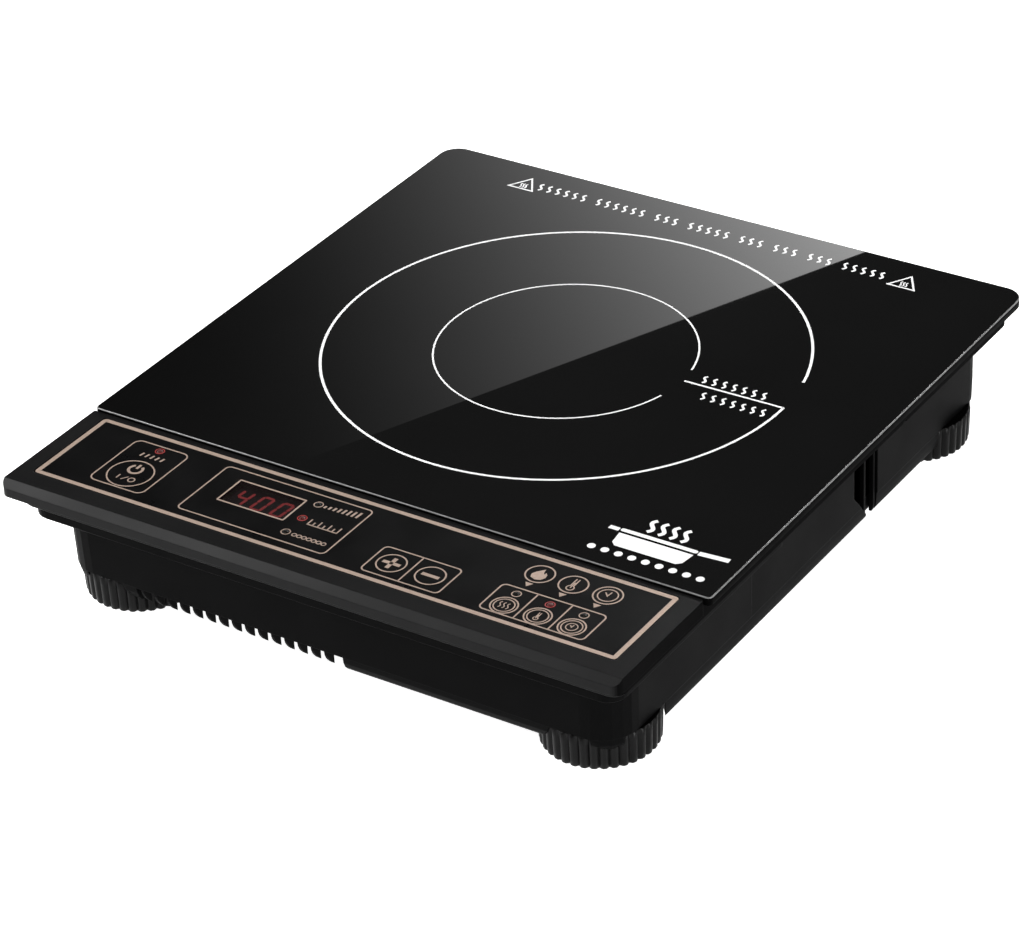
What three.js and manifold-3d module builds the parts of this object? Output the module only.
// Portable induction hob: a glass-topped single-zone cooker with a front control panel.
// Units are millimetres and +Z is up. The origin is on the surface that the feet stand on, under the
// middle of the bounding box. The control panel faces -Y, and +X is to the cook's right.

import * as THREE from "three";
import { mergeVertices } from "three/addons/utils/BufferGeometryUtils.js";
import Module from "manifold-3d";

const wasm = await Module();
wasm.setup();

// ---------------------------------------------------------------- driving dimensions

const WIDTH = 290;
const DEPTH = 327;
const HEIGHT = 60;
const GAP = 0.3; // clearance kept between pieces that touch

const HALF_X = WIDTH / 2;
const FRONT = -DEPTH / 2;
const BACK = DEPTH / 2;

// glass plate
const GLASS_THICKNESS = 4;
const GLASS_FRONT = -101.2;
const GLASS_BOTTOM = HEIGHT - GLASS_THICKNESS;
const GLASS_BACK_RADIUS = 9;
const GLASS_FRONT_RADIUS = 2;
const GLASS_ARRIS = 0.8;
const SEAL = { halfX: 134, front: -99, back: 155, radius: 6, width: 6 };

// top frame: deck with a bevelled lip at the front, and a skirt that carries the glass
const DECK_TOP = 58.7;
const DECK_THICKNESS = 2;
const CREASE_Y = -160;
const BEVEL_BOTTOM = 56;
const LIP = { left: -HALF_X, right: 142.4, bottom: 52.1, radius: 3.5 };
const SKIRT_INSET = 5.2;
const SKIRT_FRONT = -158.6;
const SKIRT_BACK = 158.4;
const SKIRT_BOTTOM = 46.8;
const SKIRT_RADIUS = 6;
const SKIRT_FLANGE = 2;
const SKIRT_MOUTH = { halfX: 128.5, front: -145, back: 147.5, frontRadius: 12, backRadius: 8 };
const DECK_HOLLOW = { halfX: 134, front: -153, back: -106 };
const SNAP_NOTCH = { front: 63, back: 66, height: 1.6, depth: 1 };
const WALL = 2.5;
const SEAM_CHAMFER = 0.6; // on both edges of the seam between frame and tray
const LEDGE_TOP = 54.9;
const LEDGE_THICKNESS = 2.5;
const LEDGE_INNER_X = 118;
const LEDGE_INNER_FRONT = -90;
const LEDGE_INNER_BACK = 145;

// base tray
const TRAY_TOP = SKIRT_BOTTOM - GAP;
const TRAY_HALF_X = 131.8;
const TRAY_FRONT = -148.4;
const TRAY_BACK = 150.6;
const TRAY_FRONT_RADIUS = 16;
const TRAY_BACK_RADIUS = 11;
const TRAY_DRAFT = 0.6;
const WALL_BOTTOM = 15;
const BELLY_BOTTOM = 7.3;
const BELLY_INSET = 5;
const BELLY_SIDE_INSET = 1.4;
const BELLY_STEP = 0.4;
const FLOOR_TOP = 9.5;
const FLOOR_EDGE = 7; // from the tray's outside to where its floor turns up
const COLLAR_HALF_X = 137;
const COLLAR_FRONT = -156.6;
const COLLAR_END = -31;
const COLLAR_BOTTOM = 41.5;
const COLLAR_RADIUS = 8;
const COLLAR_FLOOR = 1.8;
const COLLAR_OPENING = { halfX: 128, front: -144.6, back: -35 };
const SEAM_Y = -46.8;
const SEAM_STEP = 0.6;

// front louvre in the bottom edge
const LOUVRE = {
  count: 15,
  first: -89.6,
  pitch: 6.36,
  fin: 1.4,
  depth: 4.5,
  back: -128,
  right: 6.5,
  margin: 2.6,
  root: 5,
};

// vents in the side walls
const SIDE_VENT = { front: 37, back: 57, top: 44.5, low: 23, slope: 49, inside: 127.5, outside: 133 };
const SIDE_VENT_BARS = { places: [47, 55], width: 1.3, inside: 128.6, outside: 130.6 };

// vents in the rear wall and in the floor under the fan
const REAR_VENT = { count: 12, pitch: 8, width: 4, bottom: 22, top: 38, middle: 22 };
const FLOOR_VENT = { slots: 16, inner: 17, outer: 35, width: 4.4 };

// feet
const FOOT_FRONT = { x: 109, y: -124 };
const FOOT_BACK = { x: 111, y: 127 };
const FOOT_RADIUS_BOTTOM = 23.9;
const FOOT_RADIUS_TOP = 24.2;
const FOOT_FLUTES = 34;
const FOOT_FLUTE_DEPTH = 0.9;
const FOOT_TOP = WALL_BOTTOM - GAP;
const FOOT_RECESS = { radius: 9, depth: 3 };
const FOOT_POCKET_RADIUS = 24.7;
const POCKET_WALL = 2.3;
const POCKET_LID = 17.2;
const STUD_RADIUS = 5;

// control panel overlay, keys, display and indicator lenses
const OVERLAY = { x: -1.7, halfX: 135.6, front: -151.3, back: -104.4, thickness: 0.5, radius: 1.5 };
const OVERLAY_BOTTOM = DECK_TOP - OVERLAY.thickness;
const KEY_TRAVEL = 0.4;
const KEY_SIDES = 28;
const KEYS = [
  { name: "key_power", x: -102.1, y: -133.6, r: 9.8 },
  { name: "key_plus", x: 25.7, y: -137.3, r: 6.2 },
  { name: "key_minus", x: 43.5, y: -137.3, r: 6.2 },
  { name: "key_heating", x: 78.8, y: -140.6, r: 4.6 },
  { name: "key_temperature", x: 93.7, y: -140.6, r: 4.6 },
  { name: "key_timer", x: 108.6, y: -140.6, r: 4.6 },
];
const INDICATOR_RADIUS = 1.3;
const INDICATORS = [
  { name: "indicator_power", x: -101.9, y: -114.4 },
  { name: "indicator_mode_heating", x: -22.8, y: -116.4 },
  { name: "indicator_mode_temperature", x: -22.8, y: -127.5 },
  { name: "indicator_mode_timer", x: -22.8, y: -138.6 },
  { name: "indicator_key_heating", x: 78.8, y: -131.9 },
  { name: "indicator_key_temperature", x: 93.7, y: -131.9 },
  { name: "indicator_key_timer", x: 108.6, y: -131.9 },
];
const DISPLAY = { left: -60.1, right: -28.9, front: -132.2, back: -116.5, bottom: 57 };

// control board under the deck
const CONTROL_BOARD = { left: -120, right: 122, front: -151, back: -108 };
const CONTROL_BOARD_TOP = 51;
const CONNECTOR = { left: -20, right: 2, front: -112, back: -108.5, height: 4 };
const BOARD_THICKNESS = 1.6;
const PANEL_CUT_BOTTOM = 50;
const SWITCH = { half: 3, plunger: 1.7 };
const SWITCH_TOP = 54.4;
const KEY_BOTTOM = SWITCH_TOP + KEY_TRAVEL + 0.1;

// coil under the glass
const COIL = { x: 0, y: 30.5, inner: 22, outer: 86, bottom: 49.9, top: 54.6 };
const FORMER_BOTTOM = 46.6;
const COIL_POST_RADIUS = 90;
const COIL_POST_ANGLES = [90, 210, 330];
const COIL_POST_SIZE = 4;
const FORMER = { rim: 2, lug: 7, windowAt: 58, window: 13, centre: 10 };
const FERRITES = 6;
const FERRITE_BAR = { inner: 24, outer: 82, half: 7, height: 5 };
const MICA_THICKNESS = 0.4;

// fan and main board on the floor
const FAN = { x: 68, y: 52, half: 40, bore: 37.5, bottom: FLOOR_TOP + GAP, top: 28, blades: 9, hub: 13 };
const MAIN_BOARD = { left: -114, right: 18, front: -6, back: 96, top: 16.4 };
const BOARD_POST = { inset: 5, radius: 3, top: 14.5 };
const HEATSINK = {
  left: -18,
  right: 10,
  front: 6,
  back: 72,
  base: 4,
  height: 19,
  fins: 7,
  pitch: 4.2,
  fin: 1.2,
};
const CHOKE = { x: -94, y: 16, radius: 12, bore: 5, height: 12 };
const FUSE = { x: -70, front: 66, back: 86, radius: 2.6 };
const BUZZER = { x: -40, y: 84 };
const RIBBON = { x: -9, half: 9, thickness: 1 };
const BOXED_COMPONENTS = [
  { name: "power_transistor", x: -25, y: 30, width: 5, depth: 16, height: 20, finish: "component" },
  { name: "bridge_rectifier", x: -25, y: 56, width: 5, depth: 22, height: 18, finish: "component" },
  { name: "resonant_capacitor", x: -50, y: 18, width: 26, depth: 12, height: 20, finish: "capacitor" },
  { name: "filter_capacitor", x: -50, y: 40, width: 30, depth: 16, height: 22, finish: "capacitor" },
  { name: "transformer", x: -88, y: 58, width: 20, depth: 18, height: 16, finish: "ferrite" },
];
const GLAND = {
  x: -90,
  z: 28,
  radius: 8,
  bore: 3.6,
  flange: 10.5,
  flangeEnd: 2.6,
  inside: 9,
  outside: 9,
  taper: 1.6,
};
const CASE_SCREWS = [
  { name: "case_screw_front_left", x: -123, y: -60 },
  { name: "case_screw_front_right", x: 123, y: -60 },
  { name: "case_screw_back_left", x: -123, y: 75 },
  { name: "case_screw_back_right", x: 123, y: 75 },
];
const SCREW = { headZ: 35, headTop: 37.6, headR: 3.6, shankR: 1.7, top: 52, holeR: 2.1, boreR: 4.2 };
const SCREW_BOSS_RADIUS = 4.6;
const SCREW_COLUMN_RADIUS = 5.6;

// ---------------------------------------------------------------- materials

const material = (color, roughness, metalness = 0) =>
  new THREE.MeshStandardMaterial({ color, roughness, metalness });

const MATERIALS = {
  glass: material(0x0b0b0c, 0.08),
  plastic: material(0x1b1b1d, 0.5),
  overlay: material(0x242326, 0.6),
  rubber: material(0x121213, 0.75),
  silicone: material(0x202020, 0.6),
  window: material(0x140506, 0.15),
  lens: material(0x5a1414, 0.3),
  steel: material(0xb9bcc0, 0.35, 1),
  aluminium: material(0xc2c5c8, 0.4, 1),
  copper: material(0xb4683a, 0.4, 1),
  ferrite: material(0x2c2c30, 0.7),
  mica: material(0xd9d3c2, 0.7),
  bakelite: material(0x262320, 0.6),
  board: material(0x1f5a34, 0.5),
  component: material(0x1a1a1c, 0.4),
  capacitor: material(0xc8a02c, 0.35),
  white: material(0xd8d8d4, 0.5),
};

// ---------------------------------------------------------------- solid helpers

function solid(geometry) {
  const bare = geometry.clone();
  bare.deleteAttribute("normal");
  bare.deleteAttribute("uv");
  const merged = mergeVertices(bare, 1e-4);
  const index = merged.index.array;
  const kept = [];
  for (let i = 0; i < index.length; i += 3) {
    const [a, b, c] = [index[i], index[i + 1], index[i + 2]];
    if (a !== b && b !== c && c !== a) kept.push(a, b, c);
  }
  return new wasm.Manifold(new wasm.Mesh({
    numProp: 3,
    vertProperties: new Float32Array(merged.attributes.position.array),
    triVerts: new Uint32Array(kept),
  }));
}

function geometryOf(body) {
  const { vertProperties, triVerts } = body.getMesh();
  const geometry = new THREE.BufferGeometry();
  geometry.setAttribute("position", new THREE.BufferAttribute(vertProperties, 3));
  geometry.setIndex(new THREE.BufferAttribute(triVerts, 1));
  geometry.computeVertexNormals();
  return geometry;
}

const union = (bodies) => bodies.reduce((sum, next) => sum.add(next));
const cut = (body, tools) => tools.reduce((rest, tool) => rest.subtract(tool), body);

function box(x0, x1, y0, y1, z0, z1) {
  const geometry = new THREE.BoxGeometry(x1 - x0, y1 - y0, z1 - z0);
  geometry.translate((x0 + x1) / 2, (y0 + y1) / 2, (z0 + z1) / 2);
  return solid(geometry);
}

// upright cylinder
function cylinder(x, y, radius, z0, z1, sides = 24) {
  const geometry = new THREE.CylinderGeometry(radius, radius, z1 - z0, sides);
  geometry.rotateX(Math.PI / 2);
  geometry.translate(x, y, (z0 + z1) / 2);
  return solid(geometry);
}

function cylinderY(x, z, radius, y0, y1, sides = 20) {
  const geometry = new THREE.CylinderGeometry(radius, radius, y1 - y0, sides);
  geometry.translate(x, (y0 + y1) / 2, z);
  return solid(geometry);
}

function turned(x, y, profile, sides = 24) {
  const points = profile.map(([r, z]) => new THREE.Vector2(r, z));
  const geometry = new THREE.LatheGeometry(points, sides);
  geometry.rotateX(Math.PI / 2);
  geometry.translate(x, y, 0);
  return solid(geometry);
}

// plan outline of a rectangle with one radius at the front corners and one at the back corners
function outline(halfX, front, back, frontRadius, backRadius, steps = 6) {
  const corners = [
    [halfX - frontRadius, front + frontRadius, frontRadius, -90],
    [halfX - backRadius, back - backRadius, backRadius, 0],
    [-halfX + backRadius, back - backRadius, backRadius, 90],
    [-halfX + frontRadius, front + frontRadius, frontRadius, 180],
  ];
  const points = [];
  for (const [cx, cy, radius, start] of corners) {
    for (let i = 0; i <= steps; i += 1) {
      const angle = THREE.MathUtils.degToRad(start + (90 * i) / steps);
      points.push([cx + radius * Math.cos(angle), cy + radius * Math.sin(angle)]);
    }
  }
  return points;
}

// closed body through convex outlines of equal length, given from the bottom up as [z, points]
function loft(levels) {
  const count = levels[0][1].length;
  const vertices = levels.flatMap(([z, points]) => points.flatMap(([x, y]) => [x, y, z]));
  const faces = [];
  for (let level = 0; level + 1 < levels.length; level += 1) {
    for (let i = 0; i < count; i += 1) {
      const a = level * count + i;
      const b = level * count + ((i + 1) % count);
      faces.push(a, b, b + count, a, b + count, a + count);
    }
  }
  const top = (levels.length - 1) * count;
  for (let i = 1; i + 1 < count; i += 1) {
    faces.push(0, i + 1, i, top, top + i, top + i + 1);
  }
  return new wasm.Manifold(new wasm.Mesh({
    numProp: 3,
    vertProperties: new Float32Array(vertices),
    triVerts: new Uint32Array(faces),
  }));
}

const prism = (points, z0, z1) => loft([[z0, points], [z1, points]]);

// outline given in the Y-Z plane and extruded along X
function extrudedAlongX(points, x0, x1) {
  const shape = new THREE.Shape(points.map(([y, z]) => new THREE.Vector2(y, z)));
  const geometry = new THREE.ExtrudeGeometry(shape, { depth: x1 - x0, bevelEnabled: false });
  geometry.applyMatrix4(new THREE.Matrix4().makeBasis(
    new THREE.Vector3(0, 1, 0),
    new THREE.Vector3(0, 0, 1),
    new THREE.Vector3(1, 0, 0),
  ));
  geometry.translate(x0, 0, 0);
  return solid(geometry);
}

const turnedAbout = (x, y, angle, body) =>
  body.translate([-x, -y, 0]).rotate([0, 0, angle]).translate([x, y, 0]);

const hob = new THREE.Group();

function addPart(name, body, finish) {
  const mesh = new THREE.Mesh(geometryOf(body), finish);
  mesh.name = name;
  hob.add(mesh);
}

// ---------------------------------------------------------------- glass and top frame

function glassPlate() {
  const points = (inset) => outline(
    HALF_X - inset,
    GLASS_FRONT + inset,
    BACK - inset,
    GLASS_FRONT_RADIUS,
    GLASS_BACK_RADIUS,
  );
  return loft([
    [GLASS_BOTTOM, points(0)],
    [HEIGHT - GLASS_ARRIS, points(0)],
    [HEIGHT, points(GLASS_ARRIS)],
  ]);
}

function glassSeal() {
  const bottom = LEDGE_TOP + GAP;
  const top = GLASS_BOTTOM - GAP;
  const { halfX, front, back, radius, width } = SEAL;
  const ring = (inset) => outline(halfX - inset, front + inset, back - inset, radius, radius);
  return prism(ring(0), bottom, top).subtract(prism(ring(width), bottom - 1, top + 1));
}

function frameLip() {
  const middle = (LIP.left + LIP.right) / 2;
  const halfX = (LIP.right - LIP.left) / 2;
  const centred = outline(halfX, FRONT, GLASS_FRONT - GAP, LIP.radius, 1);
  const block = prism(centred.map(([x, y]) => [x + middle, y]), LIP.bottom, DECK_TOP);
  const beyond = 5;
  const slope = (DECK_TOP - BEVEL_BOTTOM) / (CREASE_Y - FRONT);
  const wedge = extrudedAlongX([
    [CREASE_Y, DECK_TOP],
    [FRONT - beyond, BEVEL_BOTTOM - slope * beyond],
    [FRONT - beyond, DECK_TOP + beyond],
    [CREASE_Y, DECK_TOP + beyond],
  ], -WIDTH, WIDTH);
  return block.subtract(wedge);
}

function overlayOutline(margin) {
  const { x, halfX, front, back, radius } = OVERLAY;
  const centred = outline(halfX + margin, front - margin, back + margin, radius, radius, 4);
  return centred.map(([px, py]) => [px + x, py]);
}

// holes for the keys, lenses and display, through the film and the deck
function panelOpenings() {
  const { left, right, front, back } = DISPLAY;
  return [
    ...KEYS.map(({ x, y, r }) => cylinder(x, y, r + GAP, PANEL_CUT_BOTTOM, HEIGHT, KEY_SIDES)),
    ...INDICATORS.map(({ x, y }) => cylinder(x, y, INDICATOR_RADIUS + GAP, PANEL_CUT_BOTTOM, HEIGHT, 10)),
    box(left - GAP, right + GAP, front - GAP, back + GAP, PANEL_CUT_BOTTOM, HEIGHT),
  ];
}

function topFrame() {
  const skirtX = HALF_X - SKIRT_INSET;
  const skirtOutline = (inset) => outline(
    skirtX - inset,
    SKIRT_FRONT + inset,
    SKIRT_BACK - inset,
    SKIRT_RADIUS - inset,
    SKIRT_RADIUS - inset,
  );
  const skirt = loft([
    [SKIRT_BOTTOM, skirtOutline(SEAM_CHAMFER)],
    [SKIRT_BOTTOM + SEAM_CHAMFER, skirtOutline(0)],
    [LEDGE_TOP, skirtOutline(0)],
  ]);
  const hollow = prism(skirtOutline(WALL), SKIRT_BOTTOM + SKIRT_FLANGE, LEDGE_TOP - LEDGE_THICKNESS);
  const mouth = prism(
    outline(
      SKIRT_MOUTH.halfX,
      SKIRT_MOUTH.front,
      SKIRT_MOUTH.back,
      SKIRT_MOUTH.frontRadius,
      SKIRT_MOUTH.backRadius,
    ),
    SKIRT_BOTTOM - 1,
    SKIRT_BOTTOM + SKIRT_FLANGE + 1,
  );
  const coilOpening = box(
    -LEDGE_INNER_X,
    LEDGE_INNER_X,
    LEDGE_INNER_FRONT,
    LEDGE_INNER_BACK,
    SKIRT_BOTTOM,
    DECK_TOP + 1,
  );
  const underDeck = box(
    -DECK_HOLLOW.halfX,
    DECK_HOLLOW.halfX,
    DECK_HOLLOW.front,
    DECK_HOLLOW.back,
    SKIRT_BOTTOM + SKIRT_FLANGE,
    DECK_TOP - DECK_THICKNESS,
  );
  const recess = prism(overlayOutline(GAP), OVERLAY_BOTTOM - GAP, DECK_TOP + 1);
  const bosses = CASE_SCREWS.map(({ x, y }) => (
    cylinder(x, y, SCREW_BOSS_RADIUS, TRAY_TOP + GAP, LEDGE_TOP - 1, 12)
  ));
  const pilotHoles = CASE_SCREWS.map(({ x, y }) => (
    cylinder(x, y, SCREW.holeR, TRAY_TOP - 1, SCREW.top + GAP, 10)
  ));
  const snapNotches = [-1, 1].map((side) => box(
    side * skirtX - SNAP_NOTCH.depth,
    side * skirtX + SNAP_NOTCH.depth,
    SNAP_NOTCH.front,
    SNAP_NOTCH.back,
    SKIRT_BOTTOM - 1,
    SKIRT_BOTTOM + SNAP_NOTCH.height,
  ));
  const shell = cut(skirt.add(frameLip()), [hollow, mouth, coilOpening, underDeck, recess]);
  return cut(union([shell, ...bosses]), [...panelOpenings(), ...pilotHoles, ...snapNotches]);
}

// ---------------------------------------------------------------- base tray

function trayOutline(z, inset, sideInset = inset) {
  const draft = (TRAY_DRAFT * (TRAY_TOP - z)) / (TRAY_TOP - WALL_BOTTOM);
  const shrink = inset + Math.min(draft, TRAY_DRAFT);
  return outline(
    TRAY_HALF_X - shrink + inset - sideInset,
    TRAY_FRONT + shrink,
    TRAY_BACK - shrink,
    TRAY_FRONT_RADIUS - inset / 2,
    TRAY_BACK_RADIUS - inset / 2,
  );
}

// rounded lower edge from the wall's bottom edge to the floor's underside
function bellyLevels(steps = 4) {
  const levels = [];
  for (let i = 0; i <= steps; i += 1) {
    const angle = (Math.PI / 2) * (i / steps);
    const z = BELLY_BOTTOM + (WALL_BOTTOM - BELLY_BOTTOM) * (1 - Math.cos(angle));
    const spread = 1 - Math.sin(angle);
    const inset = BELLY_STEP + (BELLY_INSET - BELLY_STEP) * spread;
    const sideInset = BELLY_STEP + (BELLY_SIDE_INSET - BELLY_STEP) * spread;
    levels.push([z, trayOutline(z, inset, sideInset)]);
  }
  return levels;
}

function footCentres() {
  return [
    { name: "front_left", x: -FOOT_FRONT.x, y: FOOT_FRONT.y },
    { name: "front_right", x: FOOT_FRONT.x, y: FOOT_FRONT.y },
    { name: "back_left", x: -FOOT_BACK.x, y: FOOT_BACK.y },
    { name: "back_right", x: FOOT_BACK.x, y: FOOT_BACK.y },
  ];
}

function louvreFins() {
  const wallInside = TRAY_FRONT + WALL;
  const profile = [[TRAY_FRONT + TRAY_DRAFT, WALL_BOTTOM]];
  const steps = 5;
  for (let i = 1; i <= steps; i += 1) {
    const down = i / steps;
    profile.push([
      TRAY_FRONT + TRAY_DRAFT + LOUVRE.depth * down * down,
      WALL_BOTTOM - (WALL_BOTTOM - BELLY_BOTTOM) * down,
    ]);
  }
  profile.push([TRAY_FRONT + TRAY_DRAFT + LOUVRE.depth, WALL_BOTTOM + LOUVRE.root]);
  profile.push([wallInside, WALL_BOTTOM + LOUVRE.root]);
  profile.push([wallInside - 1, WALL_BOTTOM + 0.5]);
  const fins = [];
  for (let i = 0; i < LOUVRE.count; i += 1) {
    const x = LOUVRE.first + i * LOUVRE.pitch;
    fins.push(extrudedAlongX(profile, x - LOUVRE.fin, x));
  }
  return fins;
}

function sideVentCutter(side) {
  const { front, back, top, low, slope, inside, outside } = SIDE_VENT;
  const { places, width } = SIDE_VENT_BARS;
  const below = BELLY_BOTTOM - 1;
  const opening = extrudedAlongX([
    [front, low],
    [slope, BELLY_BOTTOM + 1.5],
    [slope, below],
    [back, below],
    [back, top],
    [front, top],
  ], inside, outside);
  const bars = places.map((y) => (
    box(SIDE_VENT_BARS.inside, SIDE_VENT_BARS.outside, y - width / 2, y + width / 2, below, top)
  ));
  const cutter = cut(opening, bars);
  return side > 0 ? cutter : cutter.mirror([1, 0, 0]);
}

function baseTray() {
  const lower = bellyLevels();
  const wall = loft([
    [WALL_BOTTOM, trayOutline(WALL_BOTTOM, 0)],
    [TRAY_TOP, trayOutline(TRAY_TOP, 0)],
  ]);
  const belly = loft([...lower, [WALL_BOTTOM + 1, lower[lower.length - 1][1]]]);
  const collarOutline = (inset) => outline(
    COLLAR_HALF_X - inset,
    COLLAR_FRONT + inset,
    COLLAR_END - inset,
    COLLAR_RADIUS - inset,
    2,
  );
  const collar = loft([
    [COLLAR_BOTTOM, collarOutline(SEAM_CHAMFER)],
    [COLLAR_BOTTOM + SEAM_CHAMFER, collarOutline(0)],
    [TRAY_TOP - SEAM_CHAMFER, collarOutline(0)],
    [TRAY_TOP, collarOutline(SEAM_CHAMFER)],
  ]);
  const rearThinning = cut(
    box(-HALF_X, HALF_X, SEAM_Y, BACK, BELLY_BOTTOM - 1, COLLAR_BOTTOM - 0.5),
    [prism(
      outline(TRAY_HALF_X - SEAM_STEP, SEAM_Y - 30, TRAY_BACK, 1, TRAY_BACK_RADIUS),
      BELLY_BOTTOM - 2,
      COLLAR_BOTTOM,
    )],
  );
  const outer = cut(union([wall, belly, collar]), [rearThinning]);

  const insideShape = outline(
    TRAY_HALF_X - WALL - TRAY_DRAFT,
    TRAY_FRONT + WALL + TRAY_DRAFT,
    TRAY_BACK - WALL - TRAY_DRAFT,
    TRAY_FRONT_RADIUS - WALL,
    TRAY_BACK_RADIUS - WALL,
  );
  const lowInsideShape = outline(
    TRAY_HALF_X - FLOOR_EDGE,
    TRAY_FRONT + FLOOR_EDGE,
    TRAY_BACK - FLOOR_EDGE,
    TRAY_FRONT_RADIUS - FLOOR_EDGE / 2,
    TRAY_BACK_RADIUS - FLOOR_EDGE / 2,
  );
  const cavity = loft([
    [FLOOR_TOP, lowInsideShape],
    [WALL_BOTTOM + 1, insideShape],
    [TRAY_TOP + 1, insideShape],
  ]);
  const collarCavity = prism(collarOutline(WALL), COLLAR_BOTTOM + COLLAR_FLOOR, TRAY_TOP + 1);
  const collarOpening = box(
    -COLLAR_OPENING.halfX,
    COLLAR_OPENING.halfX,
    COLLAR_OPENING.front,
    COLLAR_OPENING.back,
    COLLAR_BOTTOM - 1,
    TRAY_TOP,
  );
  const pocketLids = footCentres().map(({ x, y }) => (
    cylinder(x, y, FOOT_POCKET_RADIUS + POCKET_WALL, 0, POCKET_LID, 32)
  ));
  const shell = cut(outer, [cut(cavity, pocketLids), collarCavity, collarOpening]);

  const pockets = footCentres().map(({ x, y }) => cylinder(x, y, FOOT_POCKET_RADIUS, 0, WALL_BOTTOM, 32));
  const studHoles = footCentres().map(({ x, y }) => cylinder(x, y, STUD_RADIUS + GAP, 0, 20, 12));
  const louvreOpening = box(
    LOUVRE.first - LOUVRE.fin - LOUVRE.margin,
    LOUVRE.right,
    FRONT,
    LOUVRE.back,
    0,
    WALL_BOTTOM,
  );
  const open = cut(shell, [...pockets, louvreOpening, sideVentCutter(1), sideVentCutter(-1)]);

  const screwColumns = CASE_SCREWS.map(({ x, y }) => (
    cylinder(x, y, SCREW_COLUMN_RADIUS, BELLY_BOTTOM + 0.5, TRAY_TOP, 12)
  ));
  const screwBores = CASE_SCREWS.map(({ x, y }) => cylinder(x, y, SCREW.boreR, 0, SCREW.headTop + GAP, 12));
  const screwHoles = CASE_SCREWS.map(({ x, y }) => cylinder(x, y, SCREW.holeR, 0, HEIGHT, 10));
  const coilPosts = coilPostCentres().map(([x, y]) => (
    cylinder(x, y, COIL_POST_SIZE, FLOOR_TOP - 1, FORMER_BOTTOM - GAP, 10)
  ));
  const boardPosts = boardPostCentres().map(([x, y]) => (
    cylinder(x, y, BOARD_POST.radius, FLOOR_TOP - 1, BOARD_POST.top, 8)
  ));
  const glandHole = cylinderY(GLAND.x, GLAND.z, GLAND.radius + GAP, TRAY_BACK - 8, TRAY_BACK + 5, 20);
  const added = union([open, ...louvreFins(), ...screwColumns, ...coilPosts, ...boardPosts]);
  return cut(added, [
    ...screwBores,
    ...screwHoles,
    ...studHoles,
    ...rearSlots(),
    ...floorSlots(),
    glandHole,
  ]);
}

function coilPostCentres() {
  return COIL_POST_ANGLES.map((degrees) => {
    const angle = THREE.MathUtils.degToRad(degrees);
    return [COIL.x + COIL_POST_RADIUS * Math.cos(angle), COIL.y + COIL_POST_RADIUS * Math.sin(angle)];
  });
}

function boardPostCentres() {
  const { left, right, front, back } = MAIN_BOARD;
  const { inset } = BOARD_POST;
  return [
    [left + inset, front + inset],
    [right - inset, front + inset],
    [left + inset, back - inset],
    [right - inset, back - inset],
  ];
}

function rearSlots() {
  const slots = [];
  for (let i = 0; i < REAR_VENT.count; i += 1) {
    const x = REAR_VENT.middle + (i - (REAR_VENT.count - 1) / 2) * REAR_VENT.pitch;
    const half = REAR_VENT.width / 2;
    slots.push(box(x - half, x + half, TRAY_BACK - 2 * WALL, TRAY_BACK + 1, REAR_VENT.bottom, REAR_VENT.top));
  }
  return slots;
}

function floorSlots() {
  const slots = [];
  for (let i = 0; i < FLOOR_VENT.slots; i += 1) {
    const half = FLOOR_VENT.width / 2;
    const slot = box(
      FAN.x + FLOOR_VENT.inner,
      FAN.x + FLOOR_VENT.outer,
      FAN.y - half,
      FAN.y + half,
      BELLY_BOTTOM - 1,
      FLOOR_TOP + 1,
    );
    slots.push(turnedAbout(FAN.x, FAN.y, (360 * i) / FLOOR_VENT.slots, slot));
  }
  return slots;
}

// ---------------------------------------------------------------- feet, gland and screws

function flutedRing(radius) {
  const points = [];
  for (let i = 0; i < FOOT_FLUTES * 2; i += 1) {
    const angle = (Math.PI * i) / FOOT_FLUTES;
    const r = i % 2 === 0 ? radius : radius - FOOT_FLUTE_DEPTH;
    points.push([r * Math.cos(angle), r * Math.sin(angle)]);
  }
  return points;
}

function foot() {
  const flutes = loft([[0, flutedRing(FOOT_RADIUS_BOTTOM)], [FOOT_TOP, flutedRing(FOOT_RADIUS_TOP)]]);
  const stud = turned(0, 0, [
    [0, FOOT_TOP - 1],
    [STUD_RADIUS - 0.1, FOOT_TOP - 1],
    [STUD_RADIUS - 0.1, 17.5],
    [STUD_RADIUS + 1, 18],
    [STUD_RADIUS - 1, 21],
    [0, 21],
  ], 12);
  const recess = cylinder(0, 0, FOOT_RECESS.radius, -1, FOOT_RECESS.depth, 16);
  return flutes.add(stud).subtract(recess);
}

function cordGland() {
  const { x, z, radius, bore, flange, flangeEnd, inside, outside, taper } = GLAND;
  const body = union([
    cylinderY(x, z, radius, TRAY_BACK - inside, TRAY_BACK + 1),
    cylinderY(x, z, flange, TRAY_BACK + GAP, TRAY_BACK + flangeEnd),
    cylinderY(x, z, radius - taper, TRAY_BACK + 1, TRAY_BACK + outside),
  ]);
  return body.subtract(cylinderY(x, z, bore, TRAY_BACK - inside - 1, TRAY_BACK + outside + 1, 16));
}

function caseScrew(x, y) {
  const head = turned(x, y, [
    [0, SCREW.headZ],
    [SCREW.headR, SCREW.headZ],
    [SCREW.headR, SCREW.headTop],
    [SCREW.shankR, SCREW.headTop],
    [SCREW.shankR, SCREW.top - 2],
    [0, SCREW.top],
  ], 10);
  const slots = [0, 90].map((angle) => turnedAbout(
    x,
    y,
    angle,
    box(x - 2, x + 2, y - 0.45, y + 0.45, SCREW.headZ - 1, SCREW.headZ + 1.2),
  ));
  return cut(head, slots);
}

// ---------------------------------------------------------------- control panel

function panelOverlay() {
  return cut(prism(overlayOutline(0), OVERLAY_BOTTOM, DECK_TOP), panelOpenings());
}

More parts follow.
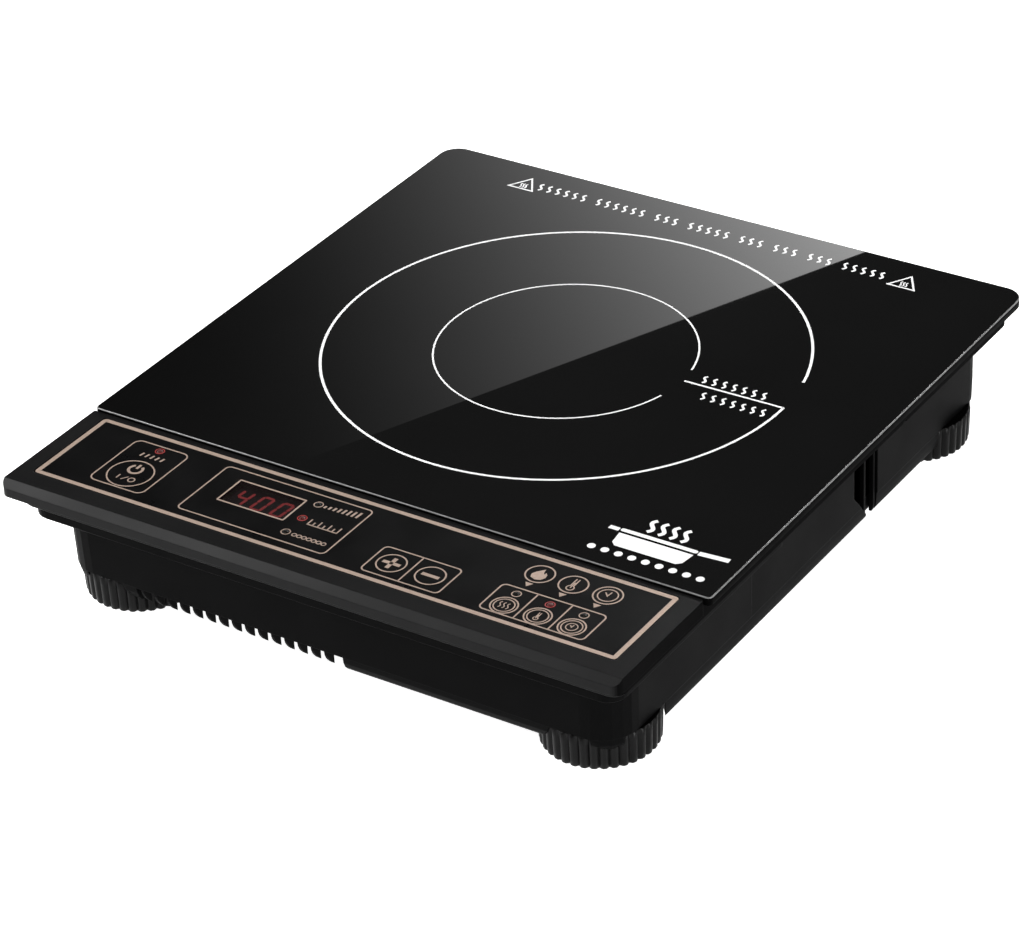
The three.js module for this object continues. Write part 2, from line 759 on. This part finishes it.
function keyCap({ x, y, r }) {
  const underside = DECK_TOP - DECK_THICKNESS;
  return turned(x, y, [
    [0, KEY_BOTTOM],
    [2, KEY_BOTTOM],
    [2, underside - GAP - 0.6],
    [r + 1, underside - GAP - 0.6],
    [r + 1, underside - GAP],
    [r, underside - GAP],
    [r, DECK_TOP],
    [0, DECK_TOP],
  ], KEY_SIDES);
}

function indicatorLens({ x, y }) {
  return cylinder(x, y, INDICATOR_RADIUS, CONTROL_BOARD_TOP + GAP, DECK_TOP, 10);
}

function tactSwitch({ x, y }) {
  const { half, plunger } = SWITCH;
  const body = box(x - half, x + half, y - half, y + half, CONTROL_BOARD_TOP + GAP, SWITCH_TOP - 1);
  return body.add(cylinder(x, y, plunger, SWITCH_TOP - 1.2, SWITCH_TOP, 10));
}

function controlBoard() {
  const { left, right, front, back } = CONTROL_BOARD;
  const bottom = CONTROL_BOARD_TOP - BOARD_THICKNESS;
  const connector = box(
    CONNECTOR.left,
    CONNECTOR.right,
    CONNECTOR.front,
    CONNECTOR.back,
    bottom - CONNECTOR.height,
    bottom + 0.5,
  );
  return box(left, right, front, back, bottom, CONTROL_BOARD_TOP).add(connector);
}

function displayModule() {
  const { left, right, front, back } = DISPLAY;
  return box(left + 1, right - 1, front + 1, back - 1, CONTROL_BOARD_TOP + GAP, DISPLAY.bottom - GAP);
}

// ---------------------------------------------------------------- coil

function coilFormer() {
  const top = COIL.bottom - GAP;
  const disc = cylinder(COIL.x, COIL.y, COIL.outer + FORMER.rim, FORMER_BOTTOM, top, 36);
  const lugs = coilPostCentres().map(([x, y]) => cylinder(x, y, FORMER.lug, FORMER_BOTTOM, top, 12));
  const windows = [];
  for (let i = 0; i < FERRITES; i += 1) {
    const hole = cylinder(COIL.x + FORMER.windowAt, COIL.y, FORMER.window, FORMER_BOTTOM - 1, top + 1, 12);
    windows.push(turnedAbout(COIL.x, COIL.y, 30 + (360 * i) / FERRITES, hole));
  }
  const centre = cylinder(COIL.x, COIL.y, FORMER.centre, FORMER_BOTTOM - 1, top + 1, 16);
  return cut(union([disc, ...lugs]), [...windows, centre]);
}

function coilWinding() {
  const ring = cylinder(COIL.x, COIL.y, COIL.outer, COIL.bottom, COIL.top, 36);
  return ring.subtract(cylinder(COIL.x, COIL.y, COIL.inner, COIL.bottom - 1, COIL.top + 1));
}

function ferriteBar(index) {
  const { inner, outer, half, height } = FERRITE_BAR;
  const top = FORMER_BOTTOM - GAP;
  const bar = box(COIL.x + inner, COIL.x + outer, COIL.y - half, COIL.y + half, top - height, top);
  return turnedAbout(COIL.x, COIL.y, (360 * index) / FERRITES, bar);
}

function micaSheet() {
  const bottom = COIL.top + GAP;
  const sheet = cylinder(COIL.x, COIL.y, COIL.outer + 1, bottom, bottom + MICA_THICKNESS, 36);
  return sheet.subtract(cylinder(COIL.x, COIL.y, FORMER.centre - 1, COIL.top, HEIGHT, 12));
}

function thermistor() {
  return turned(COIL.x, COIL.y, [
    [0, 44],
    [4, 44],
    [4, 50.4],
    [6.5, 50.4],
    [6.5, 52.4],
    [5, GLASS_BOTTOM - GAP],
    [0, GLASS_BOTTOM - GAP],
  ], 14);
}

// ---------------------------------------------------------------- fan

function fanFrame() {
  const { x, y, half, bore, bottom, top } = FAN;
  const body = prism(
    outline(half, -half, half, 6, 6, 3).map(([px, py]) => [px + x, py + y]),
    bottom,
    top,
  );
  const tube = cylinder(x, y, bore, bottom - 1, top + 1, 32);
  const struts = [0, 120, 240].map((angle) => turnedAbout(
    x,
    y,
    angle,
    box(x, x + bore + 1, y - 2, y + 2, bottom, bottom + 2),
  ));
  const motor = cylinder(x, y, 14, bottom, bottom + 2.4, 16);
  const axle = cylinder(x, y, 1.5, bottom + 1, top - 2, 10);
  return union([body.subtract(tube), ...struts, motor, axle]);
}

function fanRotor() {
  const { x, y, bore, bottom, top, blades, hub } = FAN;
  const hubBottom = bottom + 2.4 + GAP;
  const parts = [cylinder(x, y, hub, hubBottom, top - 1, 18)];
  for (let i = 0; i < blades; i += 1) {
    const length = bore - 1.5 - (hub - 1);
    const blade = new THREE.BoxGeometry(length, 13, 1.4);
    blade.rotateX(THREE.MathUtils.degToRad(48));
    blade.translate(hub - 1 + length / 2, 0, (hubBottom + top - 1) / 2);
    blade.rotateZ((2 * Math.PI * i) / blades);
    blade.translate(x, y, 0);
    parts.push(solid(blade));
  }
  return union(parts).subtract(cylinder(x, y, 1.8, bottom, top + 1, 10));
}

// ---------------------------------------------------------------- power electronics

function mainBoard() {
  const { left, right, front, back, top } = MAIN_BOARD;
  return box(left, right, front, back, top - BOARD_THICKNESS, top);
}

function heatsink() {
  const base = MAIN_BOARD.top + GAP;
  const { left, right, front, back, height, fins, pitch, fin } = HEATSINK;
  const parts = [box(left, right, front, back, base, base + HEATSINK.base)];
  for (let i = 0; i < fins; i += 1) {
    const x = left + 1 + i * pitch;
    parts.push(box(x, x + fin, front, back, base + 1, base + height));
  }
  return union(parts);
}

function boxedComponent({ x, y, width, depth, height }) {
  const base = MAIN_BOARD.top + GAP;
  return box(x - width / 2, x + width / 2, y - depth / 2, y + depth / 2, base, base + height);
}

function choke() {
  const base = MAIN_BOARD.top + GAP;
  const { x, y, radius, bore, height } = CHOKE;
  const ring = cylinder(x, y, radius, base, base + height);
  return ring.subtract(cylinder(x, y, bore, base - 1, base + height + 1, 14));
}

function fuse() {
  const { x, front, back, radius } = FUSE;
  return cylinderY(x, MAIN_BOARD.top + GAP + radius, radius, front, back, 10);
}

function buzzer() {
  const base = MAIN_BOARD.top + GAP;
  return turned(BUZZER.x, BUZZER.y, [
    [0, base],
    [6, base],
    [6, base + 8],
    [1.2, base + 8],
    [1.2, base + 7],
    [0, base + 7],
  ], 14);
}

// flat ribbon from the main board up and forward to the control board's connector
function ribbonCable() {
  const { x, half, thickness } = RIBBON;
  const topZ = CONTROL_BOARD_TOP - BOARD_THICKNESS - CONNECTOR.height - GAP;
  const lowZ = MAIN_BOARD.top + GAP;
  const profile = [
    [-111, topZ],
    [-111, topZ - thickness - 3],
    [-70, lowZ + 6],
    [-12, lowZ + 6],
    [0, lowZ],
    [2, lowZ],
    [2, lowZ + thickness],
    [-11, lowZ + 6 + thickness + 0.5],
    [-69, lowZ + 6 + thickness],
    [-109.5, topZ - 2.5],
    [-109.5, topZ],
  ];
  return extrudedAlongX(profile, x - half, x + half);
}

// ---------------------------------------------------------------- assembly

addPart("glass_plate", glassPlate(), MATERIALS.glass);
addPart("glass_seal", glassSeal(), MATERIALS.silicone);
addPart("top_frame", topFrame(), MATERIALS.plastic);
addPart("base_tray", baseTray(), MATERIALS.plastic);
addPart("cord_gland", cordGland(), MATERIALS.rubber);
for (const { name, x, y } of footCentres()) {
  addPart(`foot_${name}`, foot().translate([x, y, 0]), MATERIALS.rubber);
}
for (const { name, x, y } of CASE_SCREWS) {
  addPart(name, caseScrew(x, y), MATERIALS.steel);
}

addPart("panel_overlay", panelOverlay(), MATERIALS.overlay);
addPart("display_window", box(
  DISPLAY.left,
  DISPLAY.right,
  DISPLAY.front,
  DISPLAY.back,
  DISPLAY.bottom,
  DECK_TOP,
), MATERIALS.window);
for (const key of KEYS) {
  addPart(key.name, keyCap(key), MATERIALS.overlay);
  addPart(key.name.replace("key_", "switch_"), tactSwitch(key), MATERIALS.component);
}
for (const indicator of INDICATORS) {
  addPart(indicator.name, indicatorLens(indicator), MATERIALS.lens);
}
addPart("control_board", controlBoard(), MATERIALS.board);
addPart("display_module", displayModule(), MATERIALS.component);
addPart("ribbon_cable", ribbonCable(), MATERIALS.white);

addPart("coil_former", coilFormer(), MATERIALS.bakelite);
addPart("coil_winding", coilWinding(), MATERIALS.copper);
for (let i = 0; i < FERRITES; i += 1) {
  addPart(`ferrite_bar_${i + 1}`, ferriteBar(i), MATERIALS.ferrite);
}
addPart("mica_sheet", micaSheet(), MATERIALS.mica);
addPart("thermistor", thermistor(), MATERIALS.silicone);

addPart("fan_frame", fanFrame(), MATERIALS.component);
addPart("fan_rotor", fanRotor(), MATERIALS.component);

addPart("main_board", mainBoard(), MATERIALS.board);
addPart("heatsink", heatsink(), MATERIALS.aluminium);
for (const component of BOXED_COMPONENTS) {
  addPart(component.name, boxedComponent(component), MATERIALS[component.finish]);
}
addPart("choke", choke(), MATERIALS.copper);
addPart("fuse", fuse(), MATERIALS.white);
addPart("buzzer", buzzer(), MATERIALS.component);

export default hob;
